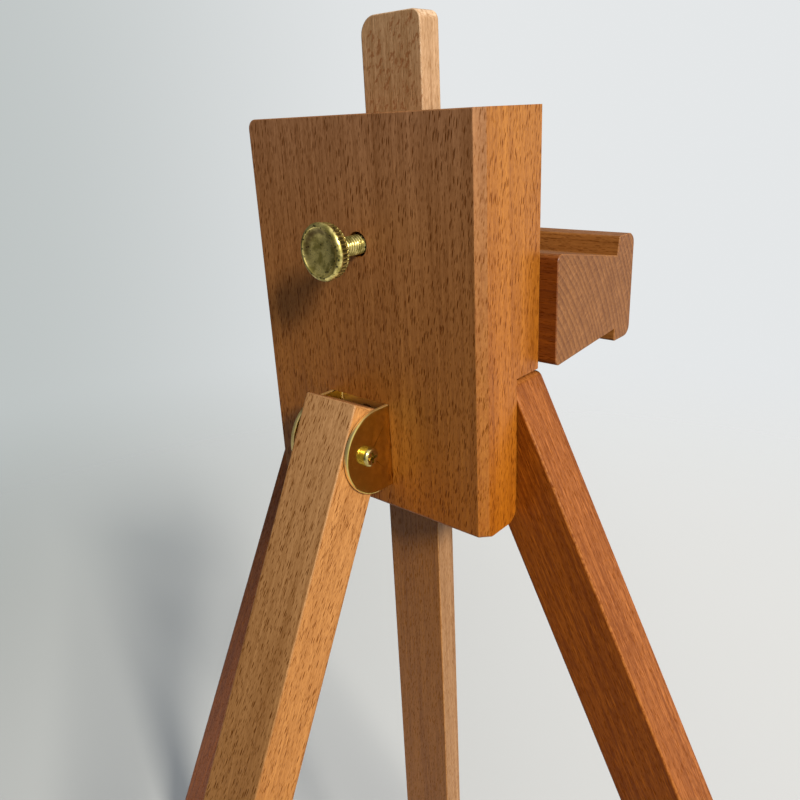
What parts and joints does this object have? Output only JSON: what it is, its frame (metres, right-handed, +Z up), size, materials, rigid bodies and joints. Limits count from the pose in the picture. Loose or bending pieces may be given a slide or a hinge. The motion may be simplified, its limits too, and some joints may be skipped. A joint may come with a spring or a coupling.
{
  "type": "artist easel",
  "caption": "Small wooden tripod easel with a sliding mast, a thumb screw that clamps it, a canvas tray and folding legs.",
  "frame": {"origin": "centre of the overall box, at the level of the table the three feet stand on", "axes": "+Z up; -Y is the side where the canvas stands, +Y the side of the rear leg; +X is the right hand of somebody who faces the canvas"},
  "size_m": [0.5092, 0.2996, 0.5289],
  "materials": {
    "head_wood": "satin varnish",
    "mast_wood": "satin varnish",
    "tray_wood": "satin varnish",
    "leg_wood": "satin varnish",
    "dowel_wood": "bare",
    "aged_brass": "aged, satin",
    "screw_steel": "plain",
    "washer_fibre": "matt"
  },
  "bodies": {
    "head": {"head_block": "head_wood", "tray": "tray_wood", "tray_dowels": "dowel_wood", "thread_insert": "aged_brass", "rear_bracket": "aged_brass", "bracket_screws": "aged_brass", "rear_pivot_screw": "aged_brass", "rear_pivot_nut": "aged_brass", "front_pivot_screw_left": "screw_steel", "front_pivot_screw_right": "screw_steel", "front_washer_left": "screw_steel", "front_washer_right": "screw_steel", "front_spacer_left": "washer_fibre", "front_spacer_right": "washer_fibre"},
    "mast": {"mast": "mast_wood"},
    "thumb_screw": {"thumb_knob": "aged_brass", "thumb_stud": "aged_brass"},
    "rear_leg": {"rear_leg": "leg_wood"},
    "front_leg_left": {"front_leg_left": "leg_wood"},
    "front_leg_right": {"front_leg_right": "leg_wood"}
  },
  "joints": [
    {"name": "mast_slide", "type": "slide", "parent": "head", "child": "mast", "axis": [0, 0, 1], "range_m": [-0.025, 0.26]},
    {"name": "thumb_turn", "type": "hinge", "parent": "head", "child": "thumb_screw", "pos_m": [0, -0.0713, 0.4658], "axis": [0, 1, 0], "range_deg": [0, 720]},
    {"name": "rear_leg_fold", "type": "hinge", "parent": "head", "child": "rear_leg", "pos_m": [0.004, -0.0604, 0.4032], "axis": [-1, 0, 0], "range_deg": [0, 26.4]},
    {"name": "front_leg_left_fold", "type": "hinge", "parent": "head", "child": "front_leg_left", "pos_m": [-0.0394, -0.0971, 0.406], "axis": [0, -1, 0], "range_deg": [0, 26.5]},
    {"name": "front_leg_right_fold", "type": "hinge", "parent": "head", "child": "front_leg_right", "pos_m": [0.0394, -0.0971, 0.406], "axis": [0, 1, 0], "range_deg": [0, 26.5]}
  ]
}
